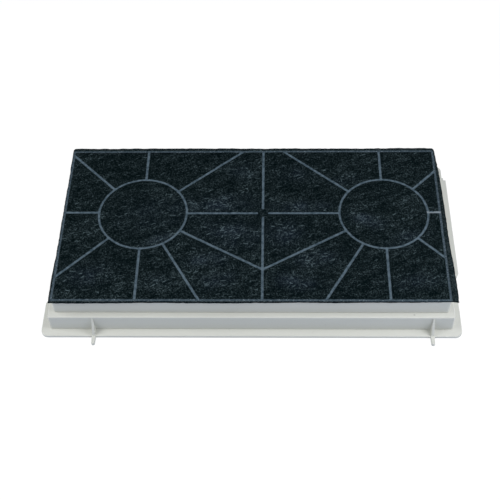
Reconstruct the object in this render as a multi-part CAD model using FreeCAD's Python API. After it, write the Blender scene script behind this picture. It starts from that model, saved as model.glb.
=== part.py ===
# Carbon filter cassette of a cooker hood: a two-tier plastic tray whose upper tier is
# divided by upright ribs, filled with carbon granules, and closed above and below by a
# black fleece that is welded down onto the rims and the ribs.
#
# Frame: millimetres, +Z up, X along the length, the flange's underside at Z = 0, and the
# origin under the middle of the whole cassette, lugs and side tab included.
import FreeCAD
import Part
import math
import os

Vector = FreeCAD.Vector
UP = Vector(0, 0, 1)

# Tray walls
wall = 2.0                    # upright walls of both tiers

# Upper tier, which holds the carbon
case_length = 404.8
case_depth = 204.4
case_corner = 3.5
rim_height = 44.3             # top of the upper wall and of the ribs

# Lower tier, a hollow skirt that stands out below the upper one
ledge_width_side = 5.7
ledge_width_front = 6.25      # also at the back
ledge_height = 24.35          # top of the ledge between the tiers
ledge_thickness = 2.0
ledge_round = 1.2             # rounding of its outer edge
skirt_corner = 2.5

# Flange round the foot
flange_width_side = 9.4
flange_width_front = 8.6      # also at the back
flange_thickness = 2.8
flange_corner = 7.5
flange_round = 0.5            # rounding of its upper edge

# Ribs and weld lines: two rings with spokes, joined by a line across the middle
ring_radius = 47.3            # to the middle of the ring's wall
ring_to_left = 37.1           # left ring's edge, from the middle of the left wall
ring_to_right = 12.7          # right ring's edge, from the middle of the right wall
ring_to_back = 42.3           # both rings' edges, from the middle of the back wall
spoke_angles = (0, 40, 90, 135, 180, 225, 270, 300, 330)
gate_radius = 6.5             # clearing at the pattern's middle, where nothing is welded
gate_depth = 3.0              # how far the ribs dip there
rib_thickness = 1.6

# Fleece sheets and their weld lines
fleece_thickness = 1.8
weld_depth = 0.9              # how far a weld line is pressed into the fleece
spoke_weld_width = 2.7
ring_weld_width = 2.1
border_weld_width = 2.0

# Top fleece, cut by hand a little beyond the upper wall: how far it hangs over
overhang_back_left = 3.8
overhang_back_right = 2.9
overhang_front_left = 2.6
overhang_front_middle = 1.6
overhang_front_right = 0.7
overhang_left_back = 0.3
overhang_left_front = 1.4
overhang_right_back = 1.2
overhang_right_bend = 4.0
overhang_right_front = 5.8
bend_from_back = 37.2         # where the right edge changes its slant
fleece_corner = 3.0

# Bottom fleece, a plain rectangle that laps under the ledge
bottom_lap = 2.6
bottom_corner = 4.0

# Carbon charges, which lie on the bottom fleece
charge_clearance = 0.3        # to the ribs and walls
charge_headroom = 0.3         # under the top fleece

# Lugs on the front edge, each under a gusset
lug_from_ring = 45.25         # outwards from its ring's centre
lug_reach = 9.5
lug_root_width = 4.5
lug_tip_width = 3.5
lug_height = 3.2
lug_nose = 1.4                # rounding of the tip, seen from above
lug_round = 0.9               # rounding of its upper edges
gusset_top_width = 1.4
gusset_foot_width = 3.0

# Tab on the right edge of the flange
tab_reach = 4.2
tab_from_front = 71.0         # where it leaves the edge, from the flange's front
tab_slant = 9.0               # how far along it takes to reach its full width
tab_from_back = 18.1
tab_step_width = 1.6          # the notch at its back corner
tab_step_length = 3.6

# Setback of the left edge of the flange, from its front ear to the back
recess_depth = 3.0
recess_from_front = 44.4
recess_slant = 3.0

# Sizes that follow from the ones above
skirt_length = case_length + 2 * ledge_width_side
skirt_depth = case_depth + 2 * ledge_width_front
flange_length = skirt_length + 2 * flange_width_side
flange_depth = skirt_depth + 2 * flange_width_front
case_floor = ledge_height - ledge_thickness
weld_top = rim_height + fleece_thickness - weld_depth
left_ring_x = -(case_length - wall) / 2 + ring_to_left + ring_radius
right_ring_x = (case_length - wall) / 2 - ring_to_right - ring_radius
pattern_x = (left_ring_x + right_ring_x) / 2
pattern_y = (case_depth - wall) / 2 - ring_to_back - ring_radius
frame_shift = Vector(-tab_reach / 2, lug_reach / 2, 0)


def prism(points, bottom, top):
    """Upright prism over a closed outline of (x, y) points."""
    corners = [Vector(x, y, bottom) for x, y in points]
    face = Part.Face(Part.makePolygon(corners + corners[:1]))
    return face.extrude(UP * (top - bottom))


def upright_edges(solid):
    """The solid's vertical edges."""
    return [e for e in solid.Edges if abs(abs(e.tangentAt(e.FirstParameter).z) - 1) < 1e-6]


def plate(length, depth, corner, bottom, top):
    """Rectangular block about the middle, with its upright corners rounded."""
    block = Part.makeBox(length, depth, top - bottom, Vector(-length / 2, -depth / 2, bottom))
    return block.makeFillet(corner, upright_edges(block))


def soften_top(solid, radius):
    """Rounds the edges of the highest face."""
    top = max(solid.Faces, key=lambda face: face.CenterOfMass.z)
    return solid.makeFillet(radius, top.OuterWire.Edges)


def hollow(outer, length, depth, corner, bottom, top):
    """Cuts a rounded rectangular well through a solid."""
    return outer.cut(plate(length, depth, corner, bottom, top))


def strip(start, angle, length, width, bottom, top):
    """Straight upright bar that leaves start at an angle in degrees."""
    bar = Part.makeBox(length, width, top - bottom, Vector(0, -width / 2, bottom))
    bar.rotate(Vector(), UP, angle)
    bar.translate(Vector(start[0], start[1], 0))
    return bar


def ring(centre, radius, width, bottom, top):
    """Upright tube wall about a centre."""
    foot = Vector(centre[0], centre[1], bottom)
    outer = Part.makeCylinder(radius + width / 2, top - bottom, foot)
    return outer.cut(Part.makeCylinder(radius - width / 2, top - bottom, foot))


def ring_centres():
    """Centre and side of each ring: -1 on the left, +1 on the right."""
    return [((left_ring_x, pattern_y), -1), ((right_ring_x, pattern_y), 1)]


def spoke_direction(angle, side):
    """A spoke's angle on its own side: the right ring mirrors the left one."""
    return angle if side < 0 else 180 - angle


def spoke_reach(centre, side, angle):
    """Distance from a ring's centre to the middle of the wall, or to the middle rib."""
    dx = math.cos(math.radians(spoke_direction(angle, side)))
    dy = math.sin(math.radians(spoke_direction(angle, side)))
    side_wall = side * (case_length - wall) / 2
    end_wall = (case_depth - wall) / 2
    reaches = []
    if abs(dx) > 1e-9:
        limit = side_wall if dx * side > 0 else pattern_x
        reaches.append((limit - centre[0]) / dx)
    if abs(dy) > 1e-9:
        limit = math.copysign(end_wall, dy)
        reaches.append((limit - centre[1]) / dy)
    return min(reaches)


def web(spoke_width, ring_width, bottom, top):
    """The pattern as one solid: both rings, their spokes and the middle line."""
    bars = []
    for centre, side in ring_centres():
        bars.append(ring(centre, ring_radius, ring_width, bottom, top))
        for angle in spoke_angles:
            reach = spoke_reach(centre, side, angle)
            turn = spoke_direction(angle, side)
            bar = strip(centre, turn, reach, spoke_width, bottom, top)
            core = Part.makeCylinder(ring_radius, top - bottom, Vector(centre[0], centre[1], bottom))
            bars.append(bar.cut(core))
    front = -(case_depth - wall) / 2
    bars.append(strip((pattern_x, front), 90, case_depth - wall, spoke_width, bottom, top))
    return bars[0].fuse(bars[1:])


def gate(bottom, top):
    """Round clearing at the middle of the pattern."""
    return Part.makeCylinder(gate_radius, top - bottom, Vector(pattern_x, pattern_y, bottom))


def flange_outline():
    """Flange plate with the tab on its right edge, and its left edge set back behind the ear."""
    right = flange_length / 2
    tab_front = -flange_depth / 2 + tab_from_front
    tab_back = flange_depth / 2 - tab_from_back
    recess_front = -flange_depth / 2 + recess_from_front
    body = plate(flange_length, flange_depth, flange_corner, 0, flange_thickness)
    tab = prism(
        [
            (right - wall, tab_front),
            (right, tab_front),
            (right + tab_reach, tab_front + tab_slant),
            (right + tab_reach, tab_back - tab_step_length),
            (right + tab_step_width, tab_back - tab_step_length),
            (right + tab_step_width, tab_back),
            (right - wall, tab_back),
        ],
        0,
        flange_thickness,
    )
    recess = prism(
        [
            (-right - wall, recess_front - recess_slant),
            (-right, recess_front - recess_slant),
            (-right + recess_depth, recess_front),
            (-right + recess_depth, flange_depth / 2 + wall),
            (-right - wall, flange_depth / 2 + wall),
        ],
        0,
        flange_thickness,
    )
    return body.fuse(tab).cut(recess).removeSplitter()


def tiers():
    """The two hollow tiers and the ledge between them, open above and below."""
    skirt = soften_top(plate(skirt_length, skirt_depth, skirt_corner, 0, ledge_height), ledge_round)
    skirt = hollow(
        skirt,
        skirt_length - 2 * wall,
        skirt_depth - 2 * wall,
        skirt_corner,
        0,
        case_floor,
    )
    case = plate(case_length, case_depth, case_corner, case_floor, rim_height)
    both = skirt.fuse(case)
    return hollow(
        both,
        case_length - 2 * wall,
        case_depth - 2 * wall,
        case_corner,
        case_floor,
        rim_height,
    )


def lug_places():
    """X of each lug, outwards from the ring of its side."""
    return [centre[0] + side * lug_from_ring for centre, side in ring_centres()]


def lug(x):
    """Blunt tapered peg that points forward from the flange's front edge."""
    root = -flange_depth / 2 + wall
    tip = -flange_depth / 2 - lug_reach
    half_root = lug_root_width / 2
    half_tip = lug_tip_width / 2
    peg = prism(
        [
            (x - half_root, root),
            (x - half_tip, tip),
            (x + half_tip, tip),
            (x + half_root, root),
        ],
        0,
        lug_height,
    )
    nose = [e for e in upright_edges(peg) if e.CenterOfMass.y < tip + 0.01]
    peg = peg.makeFillet(lug_nose, nose)
    return soften_top(peg, lug_round)


def gusset(x):
    """Thin fin from the ledge's edge down to the flange's front edge, wider at its foot."""
    back = -skirt_depth / 2 + wall / 2
    front = -flange_depth / 2
    high = ledge_height - ledge_round
    top = Part.makePolygon(
        [
            Vector(x - gusset_top_width / 2, -skirt_depth / 2, high),
            Vector(x + gusset_top_width / 2, -skirt_depth / 2, high),
            Vector(x + gusset_top_width / 2, back, high),
            Vector(x - gusset_top_width / 2, back, high),
            Vector(x - gusset_top_width / 2, -skirt_depth / 2, high),
        ]
    )
    foot = Part.makePolygon(
        [
            Vector(x - gusset_foot_width / 2, front, flange_thickness),
            Vector(x + gusset_foot_width / 2, front, flange_thickness),
            Vector(x + gusset_foot_width / 2, back, flange_thickness),
            Vector(x - gusset_foot_width / 2, back, flange_thickness),
            Vector(x - gusset_foot_width / 2, front, flange_thickness),
        ]
    )
    return Part.makeLoft([foot, top], True, True)


def make_tray():
    """The one-piece moulding."""
    flange = soften_top(flange_outline(), flange_round)
    flange = hollow(
        flange,
        skirt_length - 2 * wall,
        skirt_depth - 2 * wall,
        skirt_corner,
        0,
        flange_thickness,
    )
    ribs = web(rib_thickness, rib_thickness, case_floor, rim_height)
    ribs = ribs.cut(gate(rim_height - gate_depth, rim_height))
    parts = [flange, ribs]
    for x in lug_places():
        parts += [lug(x), gusset(x)]
    return tiers().fuse(parts).removeSplitter()


def weld_lines(bottom, top):
    """All the pressed lines: the web with its clearing, and the border on the upper wall."""
    lines = web(spoke_weld_width, ring_weld_width, bottom, top).cut(gate(bottom, top))
    border = hollow(
        plate(
            case_length - wall + border_weld_width,
            case_depth - wall + border_weld_width,
            case_corner,
            bottom,
            top,
        ),
        case_length - wall - border_weld_width,
        case_depth - wall - border_weld_width,
        case_corner - wall / 2,
        bottom,
        top,
    )
    frame = plate(case_length - wall, case_depth - wall, case_corner, bottom, top)
    return lines.common(frame).fuse(border)


def make_top_fleece():
    """Top sheet: its cut edge stands a little beyond the wall, unevenly."""
    left = -case_length / 2
    right = case_length / 2
    front = -case_depth / 2
    back = case_depth / 2
    outline = [
        (left - overhang_left_front, front - overhang_front_left),
        (0, front - overhang_front_middle),
        (right + overhang_right_front, front - overhang_front_right),
        (right + overhang_right_bend, back - bend_from_back),
        (right + overhang_right_back, back + overhang_back_right),
        (left - overhang_left_back, back + overhang_back_left),
    ]
    sheet = prism(outline, rim_height, rim_height + fleece_thickness)
    behind = [e for e in upright_edges(sheet) if e.CenterOfMass.y > back]
    sheet = sheet.makeFillet(fleece_corner, behind)
    return sheet.cut(weld_lines(weld_top, weld_top + fleece_thickness))


def make_bottom_fleece():
    """Bottom sheet, welded upwards onto the ribs' feet and the ledge."""
    low = case_floor - fleece_thickness
    inner_length = case_length - 2 * wall
    inner_depth = case_depth - 2 * wall
    sheet = plate(
        inner_length + 2 * bottom_lap,
        inner_depth + 2 * bottom_lap,
        bottom_corner,
        low,
        case_floor,
    )
    return sheet.cut(weld_lines(low - weld_depth, low + weld_depth))


def make_charges():
    """Carbon charges, one for each compartment, by name."""
    gap = charge_clearance
    fill = plate(
        case_length - 2 * wall - 2 * gap,
        case_depth - 2 * wall - 2 * gap,
        case_corner,
        case_floor,
        rim_height - charge_headroom,
    )
    room = rib_thickness + 2 * gap
    lumps = fill.cut(web(room, room, case_floor, rim_height)).Solids
    charges = {}
    for centre, side in ring_centres():
        name = "left" if side < 0 else "right"
        own = [s for s in lumps if (s.CenterOfMass.x - pattern_x) * side > 0]
        own.sort(key=lambda s: s.CenterOfMass.distanceToPoint(Vector(centre[0], centre[1], s.CenterOfMass.z)))
        charges[f"carbon_{name}_core"] = own[0]
        around = sorted(own[1:], key=lambda s: charge_turn(s, centre, side))
        for number, charge in enumerate(around, 1):
            charges[f"carbon_{name}_{number}"] = charge
    return charges


def charge_turn(charge, centre, side):
    """Angle of a charge about its ring's centre, counted the way the spokes are."""
    dx = -side * (charge.CenterOfMass.x - centre[0])
    dy = charge.CenterOfMass.y - centre[1]
    return math.degrees(math.atan2(dy, dx)) % 360


def main():
    os.makedirs("parts", exist_ok=True)
    nodes = {
        "tray": make_tray(),
        "top_fleece": make_top_fleece(),
        "bottom_fleece": make_bottom_fleece(),
    }
    nodes.update(make_charges())
    for name, shape in nodes.items():
        shape.translate(frame_shift)
        shape.exportStep(f"parts/{name}.step")
        box = shape.BoundBox
        print(
            f"{name:18s} solids {len(shape.Solids)} valid {shape.isValid()} "
            f"volume {shape.Volume / 1000:8.2f} cm3 "
            f"x {box.XMin:7.1f} {box.XMax:6.1f} y {box.YMin:7.1f} {box.YMax:6.1f} "
            f"z {box.ZMin:5.2f} {box.ZMax:5.2f}"
        )


main()
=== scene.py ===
# %% [markdown]
# # A carbon filter cassette for a cooker hood
# The cassette is one pale plastic moulding in two tiers. Its upper tier is divided by
# upright ribs into compartments full of carbon granules, and a sheet of black needled
# fleece is welded over them. The weld line on each rib shows through as a pressed,
# shiny, blue-grey line: two rings with spokes, and a border all round.
#
# The measured solids come in as a fixed frame. The plastic keeps its solid and gets a
# finish. The two fleeces are soft, so they are made again here as real relief.

# %% Open the measured model
import math

import bpy
import numpy as np
from mathutils import Matrix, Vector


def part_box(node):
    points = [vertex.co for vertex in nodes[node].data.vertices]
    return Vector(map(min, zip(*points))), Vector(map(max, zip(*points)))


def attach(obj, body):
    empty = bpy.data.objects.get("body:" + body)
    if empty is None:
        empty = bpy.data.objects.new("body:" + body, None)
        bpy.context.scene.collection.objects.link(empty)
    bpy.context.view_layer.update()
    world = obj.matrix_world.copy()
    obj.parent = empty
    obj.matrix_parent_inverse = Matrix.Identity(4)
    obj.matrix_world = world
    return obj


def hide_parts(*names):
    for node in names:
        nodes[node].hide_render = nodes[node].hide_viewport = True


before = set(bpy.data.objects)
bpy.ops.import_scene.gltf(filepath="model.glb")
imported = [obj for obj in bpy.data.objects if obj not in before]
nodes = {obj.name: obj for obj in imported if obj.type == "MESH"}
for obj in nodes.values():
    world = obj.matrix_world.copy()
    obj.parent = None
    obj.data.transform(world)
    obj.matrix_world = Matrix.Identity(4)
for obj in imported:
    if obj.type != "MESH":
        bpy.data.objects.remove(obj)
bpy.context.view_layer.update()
scene = bpy.context.scene
MM = 0.001
print("nodes in the frame:", len(nodes))

# %% [markdown]
# ## Where the weld lines run
# Every weld line lies on a rib or on the top of the case wall, so its place can be read
# off the solids. A ring's centre is the middle of the round charge inside it, and the
# walls are just outside the outermost charges. The spokes leave the ring centres at
# fixed angles and end at the wall, or at the line across the middle.

# %% Read the pattern's places from the charges
charge_clearance = 0.3 * MM    # between a charge and the plastic
wall = 2.0 * MM
rib = 1.6 * MM
gate_radius = 6.5 * MM         # of the clearing in the middle, where the lines stop
spoke_angles = (0, 40, 90, 135, 180, 225, 270, 300, 330)
outer_aside = 1.1 * MM         # how far back of its rib each outermost spoke was pressed


def middle(node):
    """The middle of a node's box, as an array."""
    low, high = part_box(node)
    return np.array((low + high) / 2)


left_ring = middle("carbon_left_core")[:2]
right_ring = middle("carbon_right_core")[:2]
core_low, core_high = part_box("carbon_left_core")
ring_radius = (core_high.x - core_low.x) / 2 + charge_clearance + rib / 2
half_wall = charge_clearance + wall / 2
line_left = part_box("carbon_left_5")[0].x - half_wall
line_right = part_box("carbon_right_5")[1].x + half_wall
line_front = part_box("carbon_left_6")[0].y - half_wall
line_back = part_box("carbon_left_3")[1].y + half_wall
line_middle = (left_ring[0] + right_ring[0]) / 2
gate = np.array([line_middle, left_ring[1]])
print("ring radius, mm:", round(ring_radius / MM, 2))

# %% Spokes as straight segments
too_level = 1e-6               # a direction whose part is below this never meets the line


def spoke(centre, side, angle):
    """A spoke's two ends. It runs from the ring along (cos a, sin a) up to the nearest of
    the wall lines and the middle line; the right ring mirrors the left one."""
    turn = math.radians(angle if side < 0 else 180 - angle)
    along = np.array([math.cos(turn), math.sin(turn)])
    side_line = line_left if side < 0 else line_right
    reach = []
    if abs(along[0]) > too_level:
        limit = side_line if along[0] * side > 0 else line_middle
        reach.append((limit - centre[0]) / along[0])
    if abs(along[1]) > too_level:
        limit = line_back if along[1] > 0 else line_front
        reach.append((limit - centre[1]) / along[1])
    far = min(reach)
    if angle == 0:
        far -= gate_radius
    aside = np.array([0, outer_aside if angle == 180 else 0.0])
    return centre + ring_radius * along + aside, centre + far * along + aside


spokes = [spoke(left_ring, -1, a) for a in spoke_angles]
spokes += [spoke(right_ring, 1, a) for a in spoke_angles]
spokes += [
    (np.array([line_middle, line_front]), gate - (0, gate_radius)),
    (gate + (0, gate_radius), np.array([line_middle, line_back])),
]
print("straight weld lines:", len(spokes))

# %% [markdown]
# ## How far a point is from the welds
# Both the relief and the colour of the fleece depend on one thing: how far a point lies
# from the edge of the nearest weld line. That distance is worked out once for whole
# arrays of points. It is also kept on the mesh as an attribute, because a distance can
# be interpolated between vertices without blurring the line's edge.

# %% Distance fields
spoke_width = 2.35 * MM
ring_width = 2.1 * MM
border_width = 2.0 * MM


def to_segment(x, y, start, end):
    """Distance to a segment: the point is carried onto the segment's line, the foot is
    kept between the two ends, and the distance to that foot is returned."""
    run = end - start
    share = ((x - start[0]) * run[0] + (y - start[1]) * run[1]) / (run @ run)
    share = np.clip(share, 0, 1)
    return np.hypot(x - start[0] - share * run[0], y - start[1] - share * run[1])


def to_web(x, y):
    """Distance to the edge of the nearest spoke or ring, negative on the line."""
    near = np.full(np.shape(x), np.inf)
    for start, end in spokes:
        near = np.minimum(near, to_segment(x, y, start, end) - spoke_width / 2)
    for centre in (left_ring, right_ring):
        out = np.hypot(x - centre[0], y - centre[1]) - ring_radius
        near = np.minimum(near, np.abs(out) - ring_width / 2)
    return near


def to_border(x, y):
    """Signed distance to the border rectangle: positive outside it, negative inside."""
    dx = np.maximum(line_left - x, x - line_right)
    dy = np.maximum(line_front - y, y - line_back)
    outside = np.hypot(np.maximum(dx, 0), np.maximum(dy, 0))
    return outside + np.minimum(np.maximum(dx, dy), 0)


def ease(low, high, value):
    """Smooth step: 0 at low and before it, 1 at high and past it, 3t^2 - 2t^3 between."""
    t = np.clip((value - low) / (high - low), 0, 1)
    return t * t * (3 - 2 * t)


def soft_noise(shape, size, seed):
    """Smooth random field: white noise whose waves shorter than size, in cells, are
    taken out by a Gaussian in the frequency plane, scaled to a deviation of 1."""
    grain = np.random.default_rng(seed).normal(size=shape)
    fu = np.fft.fftfreq(shape[0])[:, None]
    fv = np.fft.rfftfreq(shape[1])[None, :]
    keep = np.exp(-2 * (math.pi * size) ** 2 * (fu**2 + fv**2))
    field = np.fft.irfft2(np.fft.rfft2(grain) * keep, s=shape)
    return (field - field.mean()) / field.std()


print("web to the middle of the left ring, mm:", (to_web(*left_ring) / MM).round(1))

# %% [markdown]
# ## A mesh from a grid
# A fleece sheet is a grid of points with a rim: its broad face is z = f(x, y), the cut
# edge is a few more loops of points round it, and one flat face closes the side that
# lies on the ribs. All of it goes into the mesh as whole arrays.

# %% Grid and rim into one closed mesh
def rim_of(grid):
    """The grid's outermost points, walked once round from its first corner."""
    return np.concatenate([grid[:, 0], grid[-1, 1:], grid[-2::-1, -1], grid[0, -2:0:-1]])


def closed_sheet(name, grid, loops, fields, flip=False):
    """Closed mesh from a grid (nu, nv, 3) and a list of outer loops, each with as many
    points as the grid's rim has. Quads join neighbours, and the last loop is capped.
    A grid whose broad face looks down is flipped, so that all faces look outward."""
    nu, nv = grid.shape[:2]
    index = np.arange(nu * nv).reshape(nu, nv)
    quads = np.stack([index[:-1, :-1], index[1:, :-1], index[1:, 1:], index[:-1, 1:]], -1)
    ring = rim_of(index)
    points, faces = [grid.reshape(-1, 3)], [quads.reshape(-1, 4)]
    for k, loop in enumerate(loops):
        below = nu * nv + k * len(ring) + np.arange(len(ring))
        faces.append(np.stack([ring, below, np.roll(below, -1), np.roll(ring, -1)], -1))
        points.append(loop)
        ring = below
    points, faces, cap = np.concatenate(points), np.concatenate(faces), ring[::-1]
    if flip:
        faces, cap = faces[:, ::-1], cap[::-1]
    corners = np.concatenate([faces.ravel(), cap])
    starts = np.arange(len(faces) + 1) * 4
    mesh = bpy.data.meshes.new(name)
    mesh.vertices.add(len(points))
    mesh.vertices.foreach_set("co", points.astype(np.float32).ravel())
    mesh.loops.add(len(corners))
    mesh.loops.foreach_set("vertex_index", corners.astype(np.int32))
    mesh.polygons.add(len(starts))
    mesh.polygons.foreach_set("loop_start", starts.astype(np.int32))
    smooth = np.ones(len(starts), bool)
    smooth[-1] = False
    mesh.polygons.foreach_set("use_smooth", smooth)
    for key, values in fields.items():
        rest = np.full(len(points) - len(values), values[-1])
        layer = mesh.attributes.new(key, "FLOAT", "POINT")
        layer.data.foreach_set("value", np.concatenate([values, rest]).astype(np.float32))
    mesh.update(calc_edges=True)
    mesh.validate()
    piece = bpy.data.objects.new(name, mesh)
    scene.collection.objects.link(piece)
    return piece


print("points in the rim of a grid of 4 by 3:", len(rim_of(np.zeros((4, 3)))))

# %% [markdown]
# ## The relief of a fleece
# A hot tool pressed the sheet down on the ribs and melted it there. Between the welds it
# keeps its full thickness and swells a little. A bump map could fake that, but the
# pressed lines catch the light from every side, so they are real relief. Both sheets
# share it: the top one upward, the bottom one downward.

# %% Relief between the welds
weld_thickness = 0.9 * MM      # what is left of the sheet under a weld line
loft = 0.9 * MM                # how much more there is between the welds
press_from, press_to = -0.35 * MM, 1.5 * MM     # from a weld's edge, where it rises
crown_height, crown_reach = 0.45 * MM, 11 * MM
# How high and how wide, in grid cells, each kind of unevenness is.
uneven = {
    "fine clumps": (0.10 * MM, 1.5),
    "coarse clumps": (0.13 * MM, 5),
    "carbon grains": (0.07 * MM, 2.6),
    "frozen melt": (0.05 * MM, 1.3),
}


def fleece_relief(x, y, seed):
    """Height above the weld level. It is about 0 on a weld line, where the melt froze a
    little uneven, and climbs through a smooth flank to the sheet's full thickness, with
    a faint crown in the middle of each cell. Soft noise adds clumps of fibre, and grains
    of carbon that press against the sheet. The distances to the nearest weld and to the
    border's line are returned with it."""
    web, border = to_web(x, y), to_border(x, y)
    line = np.abs(border) - border_width / 2
    inside = ease(border_width / 2, -border_width / 2, border)
    near = np.minimum(line, np.where(border < 0, web, line))
    flank = ease(press_from, press_to, near)
    crown = crown_height * (1 - np.exp(-np.maximum(near, 0) / crown_reach)) * inside
    fine, coarse, grains, melt = (
        high * soft_noise(x.shape, size, seed + k) for k, (high, size) in enumerate(uneven.values())
    )
    height = flank * (loft + crown + (fine + coarse) + grains) + (1 - flank) * melt
    return height, near, line


def distances(near, line, edge):
    """What both sheets keep as attributes: how far a point is from the nearest weld, from
    the border's line and from the cut edge, in mm."""
    return {"weld": near.ravel() / MM, "border": line.ravel() / MM, "cut": edge.ravel() / MM}


print("fleece thickness between welds, mm:", round((weld_thickness + loft) / MM, 2))

# %% [markdown]
# ## The cut edge of the top fleece
# The real sheet was trimmed by hand after it was welded, so its cut edge runs a little
# askew of the wall below and stands past it by a different amount at each corner. Each
# edge is straight between a few overhangs measured past the wall, and then frayed.

# %% Cut outline of the top fleece
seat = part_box("top_fleece")[0].z        # top of the ribs and walls
wall_left, wall_right = line_left - wall / 2, line_right + wall / 2
wall_front, wall_back = line_front - wall / 2, line_back + wall / 2
left_overhang = (1.65 * MM, 0.5 * MM)   # at the front and at the back
right_overhang = (7.0 * MM, 3.4 * MM, 1.2 * MM)     # front, bend and back
right_bend = 37.2 * MM                  # from the back wall to that bend
front_overhang = (2.6 * MM, 1.6 * MM, 0.7 * MM)     # left, middle and right
back_overhang = (4.5 * MM, 3.6 * MM)    # left and right
wander, fray = 0.22 * MM, 0.10 * MM     # slow and fine unevenness of the cut
wander_cells, fray_cells = 14, 1.2


def cut_edges(u, v):
    """The four cut edges. Left and right are x as functions of v, front and back are y as
    functions of u, all straight between the overhangs."""
    bend = (wall_back - right_bend - wall_front) / (wall_back - wall_front)
    left = wall_left - np.interp(v, [0, 1], left_overhang)
    right = wall_right + np.interp(v, [0, bend, 1], right_overhang)
    front = wall_front - np.interp(u, [0, 0.5, 1], front_overhang)
    back = wall_back + np.interp(u, [0, 1], back_overhang)
    return left, right, front, back


def ragged(count, seed):
    """Unevenness of a hand-cut edge: a slow wander plus a fine fray, in metres."""
    slow = soft_noise((count, 1), wander_cells, seed)[:, 0]
    fine = soft_noise((count, 1), fray_cells, seed + 1)[:, 0]
    return wander * slow + fray * fine


print("seat of the top fleece, mm:", round(seat / MM, 2))

# %% [markdown]
# ## Marks of handling, and one painted highlight
# Use has loosened the fibres in soft oval patches and rubbed the band past the border.
# On one short spoke the light that the melt reflects is painted into its colour as a
# highlight. They could be painted by noise alone, but then they would lie anywhere, so
# their places are values. Each becomes an attribute of the top sheet, which its finish
# reads.

# %% Pale patches, glint and rubbed band
# Middle x and y, half length and half width in mm, tilt in degrees, strength.
pale_patches = (
    (-36, 29, 34, 10, 5, 1.0), (51, 24, 30, 7, 2, 0.9), (-24, -12, 27, 15, -12, 0.9),
    (33, -11, 16, 15, 20, 1.0), (66, -45, 23, 9, 8, 0.8), (-50, -47, 20, 8, 10, 0.9),
    (-38, -72, 18, 9, 15, 0.8), (44, -74, 20, 9, -10, 1.0), (-99, -74, 14, 7, 10, 0.5),
    (-168, -66, 20, 12, 15, 0.7), (122, 6, 17, 7, -22, 1.3), (160, -20, 20, 9, 20, 0.7),
    (168, -74, 22, 9, 10, 0.6), (-96, -19, 19, 5, 22, 0.7), (-14, 76, 16, 14, 0, 0.4),
    (45, 72, 18, 12, 0, 0.4), (98, 61, 14, 6, 5, 0.6), (-104, 13, 34, 22, 0, 0.35),
)
glint_half_length, glint_half_width = 9 * MM, 1.0 * MM
glint_wave, glint_pace = 0.5 * MM, 2.0 * MM
rub_from, rub_to = 0.6 * MM, 1.2 * MM   # distances past the border's line
less_rubbed = 0.5


def paleness(x, y):
    """Sum of soft oval patches: exp(-(p/a)^2 - (q/b)^2), with p and q the distances
    along and across the patch and a and b its half length and half width."""
    total = np.zeros(np.shape(x))
    for px, py, a, b, tilt, strength in pale_patches:
        c, s = math.cos(math.radians(tilt)), math.sin(math.radians(tilt))
        dx, dy = x / MM - px, y / MM - py
        along, across = (c * dx + s * dy) / a, (c * dy - s * dx) / b
        total += strength * np.exp(-(along**2) - across**2)
    return total


# The glint is a painted highlight: this strip marks where light on the melt is painted in.
def glint(x, y):
    """1 on the short spoke to the right, in a strip that winds as a sine, else 0."""
    middle_x = (right_ring[0] + ring_radius + line_right) / 2
    winding = glint_wave * np.sin((x - middle_x) / glint_pace)
    near = np.abs(y - right_ring[1] - outer_aside - winding) < glint_half_width
    return np.where((np.abs(x - middle_x) < glint_half_length) & near, 1.0, 0.0)


def rubbed(x, y):
    """1 on the narrow band past the border, which handling has rubbed paler. The wide
    flap on the right and the far edge at the back are rubbed less."""
    band = ease(rub_from, rub_to, to_border(x, y))
    return band * np.where((x > line_right) | (y > line_back), less_rubbed, 1.0)


print("pale patches:", len(pale_patches))

# %% [markdown]
# ## The top fleece
# The grid is stretched over the cut outline, so its edge rows follow the cut. Past the
# wall the sheet droops under its own weight, its edge is pinched by the knife, and the
# rim goes down round the cut and in under the sheet to the top of the wall.

# %% Top fleece
step = 1.03 * MM               # grid spacing, which keeps the sheet under the triangle limit
spare = 6 * MM                 # rough overhang of two sides together, for the cell count
corner = 3.0 * MM              # rounding of the two back corners
droop_depth, droop_reach = 0.9 * MM, 5.8 * MM
pinch_depth, pinch_width = 0.35 * MM, 1.2 * MM
belly_out, belly_height = 0.12 * MM, 0.7 * MM       # where the cut edge bulges
foot_height = 0.05 * MM        # lower lip of the cut, above the wall
tuck = 0.1 * MM                # how far inside the wall's face the underside begins
left_seed, right_seed, front_seed, back_seed, top_seed = 11, 13, 15, 17, 21


def nearest_edge(shares, size):
    """Distance to the nearer of two edges: the smaller of share and 1 - share, times
    the size between them."""
    return np.minimum(shares, 1 - shares) * size


def rim_loops(grid, droop, shares):
    """Three loops round the grid: the bulge of the cut, moved outward at right angles to
    the rim, its lower lip, and the edge of the flat underside, on top of the wall."""
    top, sag, share = rim_of(grid), rim_of(droop), rim_of(shares)
    along = np.roll(top[:, :2], -1, axis=0) - np.roll(top[:, :2], 1, axis=0)
    outward = np.stack([along[:, 1], -along[:, 0]], -1)
    outward = outward / np.linalg.norm(along, axis=1)[:, None]
    belly, foot, under = top.copy(), top.copy(), top.copy()
    belly[:, :2] += belly_out * outward
    belly[:, 2] = seat + belly_height - sag
    foot[:, 2] = seat + foot_height - sag
    under[:, 0] = wall_left + tuck + share[:, 0] * (wall_right - wall_left - 2 * tuck)
    under[:, 1] = wall_front + tuck + share[:, 1] * (wall_back - wall_front - 2 * tuck)
    under[:, 2] = seat
    return [belly, foot, under]


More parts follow.
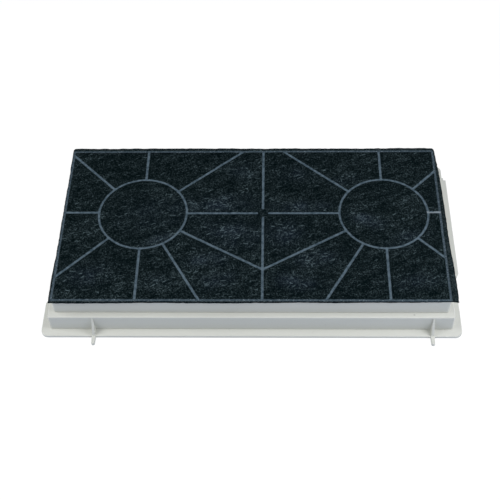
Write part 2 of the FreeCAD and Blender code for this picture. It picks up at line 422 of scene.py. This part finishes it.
def make_top_fleece():
    """Grid over the cut outline: x = left + u (right - left), y = front + v (back -
    front), z = weld level + relief - droop - pinch."""
    u = np.linspace(0, 1, int((wall_right - wall_left + spare) / step))
    v = np.linspace(0, 1, int((wall_back - wall_front + spare) / step))
    left, right, front, back = cut_edges(u, v)
    left, right = left + ragged(len(v), left_seed), right + ragged(len(v), right_seed)
    front, back = front + ragged(len(u), front_seed), back + ragged(len(u), back_seed)
    width = right.mean() - left.mean()
    into_corner = np.maximum(corner - nearest_edge(u, width), 0)
    back = back - (corner - np.sqrt(np.maximum(corner**2 - into_corner**2, 0)))
    depth = back.mean() - front.mean()
    uu, vv = np.meshgrid(u, v, indexing="ij")
    x = left[None, :] + uu * (right - left)[None, :]
    y = front[:, None] + vv * (back - front)[:, None]
    height, near, line = fleece_relief(x, y, top_seed)
    past_x = np.maximum(wall_left - x, x - wall_right)
    past_y = np.maximum(wall_front - y, y - wall_back)
    past = np.maximum(np.maximum(past_x, past_y), 0)
    droop = droop_depth * (past / droop_reach) ** 2
    edge = np.minimum(nearest_edge(uu, width), nearest_edge(vv, depth))
    pinch = pinch_depth * (1 - ease(0, pinch_width, edge))
    grid = np.stack([x, y, seat + weld_thickness + height - droop - pinch], -1)
    fields = distances(near, line, edge)
    for key, mark in {"rubbed": rubbed, "glint": glint, "pale": paleness}.items():
        fields[key] = mark(x, y).ravel()
    loops = rim_loops(grid, droop, np.stack([uu, vv], -1))
    return closed_sheet("top_fleece_sheet", grid, loops, fields)


top_fleece = make_top_fleece()
print("top fleece faces:", len(top_fleece.data.polygons))

# %% [markdown]
# ## The bottom fleece
# A second sheet closes the ribs from below, inside the hollow lower tier. It is a plain
# rectangle, welded upwards along the same pattern, so the same relief hangs down
# instead of standing up. It is seen only from below, so its grid is coarser, and nobody
# has handled it, so it carries none of the marks and no painted highlight.

# %% Bottom fleece
coarse_step = 2.0 * step
bottom_seed = 41


def make_bottom_fleece():
    """Plain rectangle whose relief points down: z = weld level - height."""
    low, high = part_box("bottom_fleece")
    u = np.linspace(0, 1, int((high.x - low.x) / coarse_step))
    v = np.linspace(0, 1, int((high.y - low.y) / coarse_step))
    along, across = low.x + u * (high.x - low.x), low.y + v * (high.y - low.y)
    x, y = np.meshgrid(along, across, indexing="ij")
    height, near, line = fleece_relief(x, y, bottom_seed)
    edge = np.minimum(np.minimum(x - low.x, high.x - x), np.minimum(y - low.y, high.y - y))
    grid = np.stack([x, y, high.z - weld_thickness - height], -1)
    foot = rim_of(grid).copy()
    foot[:, 2] = high.z
    fields = distances(near, line, edge)
    return closed_sheet("bottom_fleece_sheet", grid, [foot], fields, flip=True)


bottom_fleece = make_bottom_fleece()
print("bottom fleece faces:", len(bottom_fleece.data.polygons))

# %% [markdown]
# ## Shader sums as plain expressions
# A finish is mostly arithmetic on patterns. The small class below wraps a socket, so
# that an expression such as 1 - mask adds the Math node it stands for. Every other node
# comes from one method that sets a node's options first and its sockets after.

# %% Expression helper and node helper
class Value:
    """A number that varies over a surface: a socket with + - * and a few functions."""

    def __init__(self, finish, socket):
        self.finish, self.socket = finish, socket

    def math(self, operation, *others, **settings):
        settings = dict(operation=operation, **settings)
        return self.finish.node("ShaderNodeMath", settings, self, *others)

    def __add__(self, other):
        return self.math("ADD", other)

    def __sub__(self, other):
        return self.math("SUBTRACT", other)

    def __rsub__(self, other):
        return self.finish.node("ShaderNodeMath", {"operation": "SUBTRACT"}, other, self)

    def __mul__(self, other):
        return self.math("MULTIPLY", other)

    __radd__, __rmul__ = __add__, __mul__

    def __abs__(self):
        return self.math("ABSOLUTE")

    def power(self, other):
        return self.math("POWER", other)

    def clip(self):
        """Kept between 0 and 1."""
        return self.math("ADD", 0.0, use_clamp=True)

    def step(self, low, high):
        """Smooth step from 0 at low to 1 at high."""
        settings = {"interpolation_type": "SMOOTHSTEP"}
        return self.finish.node("ShaderNodeMapRange", settings, self, low, high, 0.0, 1.0)

    def other(self, name):
        """Another output of the same node."""
        return Value(self.finish, self.socket.node.outputs[name])


class Finish:
    """A material under construction."""

    def __init__(self, name):
        self.material = bpy.data.materials.new(name)
        self.material.use_nodes = True
        self.tree = self.material.node_tree
        self.shader = self.tree.nodes["Principled BSDF"]
        self.place = self.node("ShaderNodeTexCoord", {}, output="Object")

    def fill(self, socket, value):
        if isinstance(value, Value):
            self.tree.links.new(value.socket, socket)
        else:
            socket.default_value = value

    def node(self, kind, settings, *inputs, output=0, **named):
        """Adds a node: its options first, then its sockets in order or by name."""
        made = self.tree.nodes.new(kind)
        for key, value in settings.items():
            setattr(made, key, value)
        for socket, value in zip(made.inputs, inputs):
            if value is not None:
                self.fill(socket, value)
        for key, value in named.items():
            self.fill(made.inputs[key.replace("_", " ")], value)
        return Value(self, made.outputs[output])

    def attribute(self, name):
        """A field kept on the mesh. It is 0 on a mesh that doesn't have it."""
        return self.node("ShaderNodeAttribute", {"attribute_name": name}, output="Fac")

    def noise(self, scale, detail, rough, place=None):
        """Fractal noise with so many lumps to the metre, about 0.5 in the middle."""
        where = place or self.place
        return self.node(
            "ShaderNodeTexNoise", {}, Vector=where, Scale=scale, Detail=detail, Roughness=rough
        )

    def turned(self, angle, stretch):
        """Coordinates turned about Z and then squeezed along their X, for streaks. Height
        counts for little, so that a streak runs straight over the relief."""
        about_z = (0.0, 0.0, math.radians(angle))
        turn = self.node("ShaderNodeMapping", {}, self.place, None, about_z)
        return self.node("ShaderNodeMapping", {}, turn, None, None, (stretch, 1.0, 0.15))

    def mix(self, share, first, second):
        """Colour between first and second, each a pattern or red, green and blue."""
        pair = [(*c, 1) if isinstance(c, tuple) else c for c in (first, second)]
        not_for_colour = [None] * 5
        return self.node(
            "ShaderNodeMix", {"data_type": "RGBA"}, share, *not_for_colour, *pair, output=2
        )

    def bump(self, height, distance, strength):
        return self.node(
            "ShaderNodeBump", {}, Height=height, Distance=distance, Strength=strength
        )

    def set(self, **sockets):
        """Sets the main shader's sockets; an underscore in a name stands for a space."""
        for key, value in sockets.items():
            self.fill(self.shader.inputs[key.replace("_", " ")], value)
        return self.material


# %% [markdown]
# ## Loose fibres
# Needled fleece is a felt of short synthetic fibres that lie in every direction, and the
# paler ones that stick up are seen one by one. Modelled as hair there would be many
# thousands. A Voronoi pattern gives every cell a heart and a random colour, and that is
# all that one straight or slightly bent fibre needs.

# %% Fibres from Voronoi cells
long_fibres = dict(cell=6.0 * MM, half_width=0.70 * MM, half_length=3.4 * MM, lean=14, spread=60)
cross_fibres = dict(cell=6.8 * MM, half_width=0.65 * MM, half_length=3.6 * MM, lean=-10, spread=170)
short_fibres = dict(cell=3.0 * MM, half_width=0.60 * MM, half_length=1.6 * MM, lean=10, spread=160)
bend = 120.0                   # a fibre's way aside is bend (size - 0.5) along^2, in metres
kind_shift = (13 * MM, 29 * MM, 0.0)    # from the cells of one kind to those of the next


def loose_fibres(f, share, seed, cell, half_width, half_length, lean, spread):
    """Short fibres, one to a cell. The red in a cell's random colour turns its fibre by
    an angle within the spread, and the green sets its length and bends it a little. The
    fibre shows where blue and the wanted share add up to more than 1. The seed shifts
    the cells, so that no two kinds share their hearts."""
    shift = tuple(seed * part for part in kind_shift)
    place = f.node("ShaderNodeMapping", {}, f.place, shift)
    flat = {"voronoi_dimensions": "2D"}
    heart = f.node("ShaderNodeTexVoronoi", flat, Vector=place, Scale=1 / cell, output="Position")
    turn = f.node("ShaderNodeSeparateColor", {}, heart.other("Color"), output="Red")
    size, luck = turn.other("Green"), turn.other("Blue")
    offset = f.node("ShaderNodeVectorMath", {"operation": "SUBTRACT"}, place, heart)
    angle = turn * math.radians(spread) - math.radians(lean + spread / 2)
    about_z = {"rotation_type": "Z_AXIS"}
    turned = f.node("ShaderNodeVectorRotate", about_z, Vector=offset, Angle=angle)
    along = f.node("ShaderNodeSeparateXYZ", {}, turned, output="X")
    across = abs(along.other("Y") + along * along * (size - 0.5) * bend)
    past_middle = abs(along) - size * (0.5 * half_length)
    body = 1 - past_middle.step(0.25 * half_length, 0.5 * half_length)
    return body * (1 - across.step(0.2 * half_width, half_width)) * (luck + share).step(1.0, 1.3)


cells = [1 / kind["cell"] ** 2 for kind in (long_fibres, cross_fibres, short_fibres)]
print("cells of each kind to the square metre:", [round(count) for count in cells])

# %% [markdown]
# ## Black needled fleece
# From a step away the felt is nearly black and grainy, with faint streaks along the
# direction it was needled in. Loose fibres are thickest where the sheet was rubbed, and
# there it looks paler and bluer. Where the hot tool pressed, the fibres are melted into a
# smoother skin that is paler still, with bright flecks on the border. On one short spoke a
# highlight is painted into the melt's colour. The knife left the cut edge dark. Felt traps
# light between its fibres, so it has no mirror reflection.

# %% Fleece finish
felt_dark, felt_pale = (0.0004, 0.0030, 0.0035), (0.101, 0.143, 0.152)
felt_blue = (0.018, 0.026, 0.050)
melt_dark, melt_pale = (0.045, 0.070, 0.086), (0.102, 0.142, 0.168)
border_dull = (0.026, 0.038, 0.046)
fleck_colour = (0.190, 0.235, 0.260)
# painted highlight: the light that the melt on one short spoke reflects
painted_glint_colour = (0.270, 0.310, 0.330)
rubbed_dark, rubbed_pale = (0.004, 0.010, 0.012), (0.062, 0.078, 0.080)
cut_colour = (0.0012, 0.0034, 0.0040)


def fleece_finish():
    """Felt, weld and cut colours laid over each other. The masks come from the distances
    kept on the mesh, in mm, made uneven by a little noise."""
    f = Finish("black_needled_fleece")
    weld, border, cut = f.attribute("weld"), f.attribute("border"), f.attribute("cut")

    # Felt: how pale it is in a place, its grain, and the fibres on it.
    swell = f.noise(70.0, 3.0, 0.6).step(0.32, 0.66)
    clouds = f.noise(30.0, 2.0, 0.6).step(0.40, 0.72)
    pale = f.attribute("pale") * (0.35 + swell * 0.85)
    streaks = f.noise(230.0, 2.0, 0.6, f.turned(-20, 0.30)) * 2.0
    grain = f.noise(720.0, 1.0, 0.6) * 2.0
    ground = streaks.power(1.7) * grain.power(4.6) * (0.050 + clouds * 0.028 + pale * 0.042)
    share = pale * 0.46 + clouds * 0.15 + 0.08
    long = loose_fibres(f, share + 0.08, 1, **long_fibres)
    cross = loose_fibres(f, share, 2, **cross_fibres)
    short = loose_fibres(f, share + 0.05, 3, **short_fibres)
    tone = ground + long * 0.62 + cross * 0.62 + short * 0.34
    felt = f.mix(tone.clip(), felt_dark, felt_pale)
    felt = f.mix(pale * 0.20, felt, felt_blue)

    # Melt on the weld lines, duller and more flecked on the border.
    uneven_edge = f.noise(650.0, 2.0, 0.5) * 0.9 - 0.45
    pressed = 1 - (weld + uneven_edge).step(-0.25, 0.45)
    on_border = 1 - (border + uneven_edge).step(-0.3, 0.5)
    patchy = f.noise(260.0, 3.0, 0.6).step(0.30, 0.66)
    melt = f.mix(patchy, melt_dark, melt_pale)
    melt = f.mix(on_border * 0.55, melt, border_dull)
    flecks = f.noise(850.0, 1.0, 0.5).step(0.60, 0.72)
    melt = f.mix(flecks * (0.15 + on_border * 0.70), melt, fleck_colour)
    # Painted highlight: the melt on one short spoke is made paler where it reflects light.
    melt = f.mix(f.attribute("glint") * 0.7, melt, painted_glint_colour)

    # All together, with the rubbed band and the cut edge.
    speckled = f.noise(560.0, 2.0, 0.6).step(0.42, 0.66)
    band = f.mix(speckled, rubbed_dark, rubbed_pale)
    colour = f.mix(f.attribute("rubbed") * 0.75, felt, band)
    colour = f.mix(pressed, colour, melt)
    colour = f.mix((1 - cut.step(0.2, 0.9)) * 0.7, colour, cut_colour)
    relief = (long * 0.6 + cross * 0.6 + short * 0.4 + grain * 0.4) * (1 - pressed * 0.8)
    return f.set(
        Base_Color=colour,
        Roughness=0.95 - pressed * 0.30,
        Specular_IOR_Level=0.0,
        Normal=f.bump(relief, 0.30 * MM, 0.6),
    )


fleece = fleece_finish()
for sheet in (top_fleece, bottom_fleece):
    sheet.data.materials.append(fleece)
print("nodes in the fleece finish:", len(fleece.node_tree.nodes))

# %% [markdown]
# ## Pale moulded plastic
# The tray is unpigmented plastic of a warm off-white. A moulding of this kind has a fine
# satin grain from the tool, faint flow clouds and a few darker specks. One small scuff
# marks the front ledge.

# %% Plastic finish on the tray
plastic_dull, plastic_clean = (0.578, 0.585, 0.528), (0.610, 0.616, 0.560)
speck_colour, scuff_colour = (0.42, 0.42, 0.38), (0.30, 0.30, 0.27)
scuff_place = (0.1645, -0.1000, 0.0244)
scuff_core, scuff_reach = 0.4 * MM, 1.4 * MM


def plastic_finish():
    """Flow clouds between two off-whites, then specks, then a scuff that fades with the
    distance from its place."""
    f = Finish("off_white_plastic")
    flow = f.noise(9.0, 3.0, 0.5)
    grain = f.noise(1400.0, 2.0, 0.6)
    specks = f.noise(220.0, 1.0, 0.5).step(0.70, 0.78)
    colour = f.mix(flow, plastic_dull, plastic_clean)
    colour = f.mix(specks * 0.12, colour, speck_colour)
    apart = {"operation": "DISTANCE"}
    scuff = f.node("ShaderNodeVectorMath", apart, f.place, scuff_place, output="Value")
    colour = f.mix((1 - scuff.step(scuff_core, scuff_reach)) * 0.5, colour, scuff_colour)
    return f.set(
        Base_Color=colour,
        Roughness=0.42 + flow * 0.10,
        Specular_IOR_Level=0.4,
        Normal=f.bump(grain, 0.04 * MM, 0.5),
    )


plastic = plastic_finish()
nodes["tray"].material_slots[0].material = plastic
print("nodes in the plastic finish:", len(plastic.node_tree.nodes))

# %% [markdown]
# ## Carbon granules
# The charges are sealed in and can't be seen, but they are loose black granules a few
# millimetres across. Voronoi cells give each grain its own tone and a groove round it.

# %% Carbon finish on the charges
grain_dark, grain_pale = (0.010, 0.010, 0.011), (0.035, 0.035, 0.037)
grains_per_metre = 420.0


def carbon_finish():
    """Tone by cell, and a bump that falls with the distance from the cell's heart."""
    f = Finish("carbon_granules")
    nearest = {"feature": "F1"}
    cells = f.node("ShaderNodeTexVoronoi", nearest, Vector=f.place, Scale=grains_per_metre)
    shade = f.node("ShaderNodeRGBToBW", {}, cells.other("Color"))
    return f.set(
        Base_Color=f.mix(shade, grain_dark, grain_pale),
        Roughness=0.55 + shade * 0.3,
        Normal=f.bump(1 - cells, 0.8 * MM, 1.0),
    )


carbon = carbon_finish()
charges = [node for name, node in nodes.items() if name.startswith("carbon_")]
for charge in charges:
    charge.material_slots[0].material = carbon
print("charges with the carbon finish:", len(charges))

# %% [markdown]
# ## Putting the new sheets in place of the solids
# Each new sheet rides on the one body and replaces its plain solid, which is hidden.

# %% Ride and replace
for sheet, node in ((top_fleece, "top_fleece"), (bottom_fleece, "bottom_fleece")):
    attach(sheet, "root")
    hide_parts(node)
    print(sheet.name, "stands for", node)

# %% [markdown]
# ## Floor
# The cassette lies on a plain floor that has to look white and still keep the object's
# shadow. Seen directly, it glows nearly white by itself and the lamps add the rest. Light
# that bounces about meets a cool pale grey instead, which fills the walls from below
# with the bluish light of a studio floor.

# %% White floor that keeps the shadow
floor_half, floor_level = 6.0, -0.0002          # just under the case, in metres
floor_bounce = (0.66, 0.715, 0.83)
floor_seen = (0.10, 0.10, 0.10)
glow_bounce, glow_seen = (0.0, 0.0, 0.0), (0.94, 0.94, 0.94)


def seen_directly(tree):
    """1 for camera, mirror and see-through rays, 0 for light that bounces about."""
    path = tree.nodes.new("ShaderNodeLightPath")
    total = path.outputs["Is Camera Ray"]
    for ray in ("Is Glossy Ray", "Is Transmission Ray"):
        either = tree.nodes.new("ShaderNodeMath")
        either.operation = "MAXIMUM"
        tree.links.new(total, either.inputs[0])
        tree.links.new(path.outputs[ray], either.inputs[1])
        total = either.outputs[0]
    return total


def make_floor():
    """One large square with its own glow."""
    mesh = bpy.data.meshes.new("floor")
    signs = ((-1, -1), (1, -1), (1, 1), (-1, 1))
    corners = [(sx * floor_half, sy * floor_half, floor_level) for sx, sy in signs]
    mesh.from_pydata(corners, [], [(0, 1, 2, 3)])
    floor = bpy.data.objects.new("floor", mesh)
    scene.collection.objects.link(floor)
    f = Finish("white_floor")
    seen = Value(f, seen_directly(f.tree))
    f.set(
        Base_Color=f.mix(seen, floor_bounce, floor_seen),
        Emission_Color=f.mix(seen, glow_bounce, glow_seen),
        Emission_Strength=1.0,
        Roughness=1.0,
        Specular_IOR_Level=0.0,
    )
    mesh.materials.append(f.material)
    return floor


floor = make_floor()
print("floor, m:", [round(side, 1) for side in floor.dimensions])

# %% [markdown]
# ## World and lamps
# Two soft lamps stand to the left and right of the cassette, a little in front of it, and
# a cooler world fills the rest. A lamp on each side gives both gussets a shade on their
# inner side, and so far to the side neither lamp brightens the front walls much.

# %% World and lamps
world_strength, world_colour = 0.26, (0.88, 0.98, 1.16)
lamp_size = 0.50
lamps = {
    "left_light": dict(
        place=(-0.60, -0.205, 0.62), target=(-0.08, 0, 0), power=4.0, colour=(1.0, 0.985, 0.99)
    ),
    "right_light": dict(
        place=(0.62, -0.205, 0.62), target=(0.08, 0, 0), power=5.05, colour=(0.99, 0.985, 1.02)
    ),
}


def make_world():
    """White where the camera looks past the floor, a cool even fill everywhere else."""
    world = bpy.data.worlds.new("studio")
    scene.world = world
    world.use_nodes = True
    tree = world.node_tree
    fill, white = tree.nodes["Background"], tree.nodes.new("ShaderNodeBackground")
    looks = ((fill, world_colour, world_strength), (white, (1, 1, 1), 1.0))
    for node, colour, strength in looks:
        node.inputs["Color"].default_value = (*colour, 1)
        node.inputs["Strength"].default_value = strength
    either = tree.nodes.new("ShaderNodeMixShader")
    tree.links.new(seen_directly(tree), either.inputs[0])
    tree.links.new(fill.outputs[0], either.inputs[1])
    tree.links.new(white.outputs[0], either.inputs[2])
    tree.links.new(either.outputs[0], tree.nodes["World Output"].inputs["Surface"])


def placed(place, right, up, back):
    """Matrix that puts an object at place, with its X, Y and Z along right, up and back."""
    turn = Matrix(np.column_stack([right, up, back]).tolist()).to_4x4()
    return Matrix.Translation(place) @ turn


def make_lamp(name, place, target, power, colour):
    """Square area lamp at place that faces target along its own -Z."""
    data = bpy.data.lights.new(name, "AREA")
    data.size, data.energy, data.color = lamp_size, power, colour
    lamp = bpy.data.objects.new(name, data)
    aim = np.array(target, float) - np.array(place, float)
    back = -aim / np.linalg.norm(aim)
    side = np.cross((0.0, 1.0, 0.0), back)
    side /= np.linalg.norm(side)
    lamp.matrix_world = placed(place, side, np.cross(back, side), back)
    scene.collection.objects.link(lamp)


make_world()
for name, lamp in lamps.items():
    make_lamp(name, **lamp)
print("lamps:", list(lamps))

# %% [markdown]
# ## The camera
# The camera's place, tilt and lens were found by fitting the cassette's straight edges
# and its two rings to where they lie in the picture. A camera looks along its own -Z, so
# its axes are built from the view direction: right, up and back.

# %% Camera at the measured place
camera_place = (0.02304, -0.65907, 0.87087)
pitch, yaw, roll = (math.radians(angle) for angle in (52.803, 2.39, 1.914))
focal_pixels, picture_pixels = 993.3, 500
sensor_width = 36.0            # mm, as the lens is


def make_camera():
    """Axes: forward f = (-sin y cos p, cos y cos p, -sin p) for pitch p and yaw y, right r
    = (cos y, sin y, 0), down = f x r, then both turned by the roll."""
    level = math.cos(pitch)
    ahead = np.array([-math.sin(yaw) * level, math.cos(yaw) * level, -math.sin(pitch)])
    right = np.array([math.cos(yaw), math.sin(yaw), 0])
    down = np.cross(ahead, right)
    right_rolled = math.cos(roll) * right + math.sin(roll) * down
    down_rolled = -math.sin(roll) * right + math.cos(roll) * down
    data = bpy.data.cameras.new("camera")
    data.sensor_width = sensor_width
    data.lens = sensor_width * focal_pixels / picture_pixels
    camera = bpy.data.objects.new("camera", data)
    camera.matrix_world = placed(camera_place, right_rolled, -down_rolled, -ahead)
    scene.collection.objects.link(camera)
    scene.camera = camera
    return camera


camera = make_camera()
scene.view_settings.view_transform = "Standard"
print("lens, mm:", round(camera.data.lens, 2))
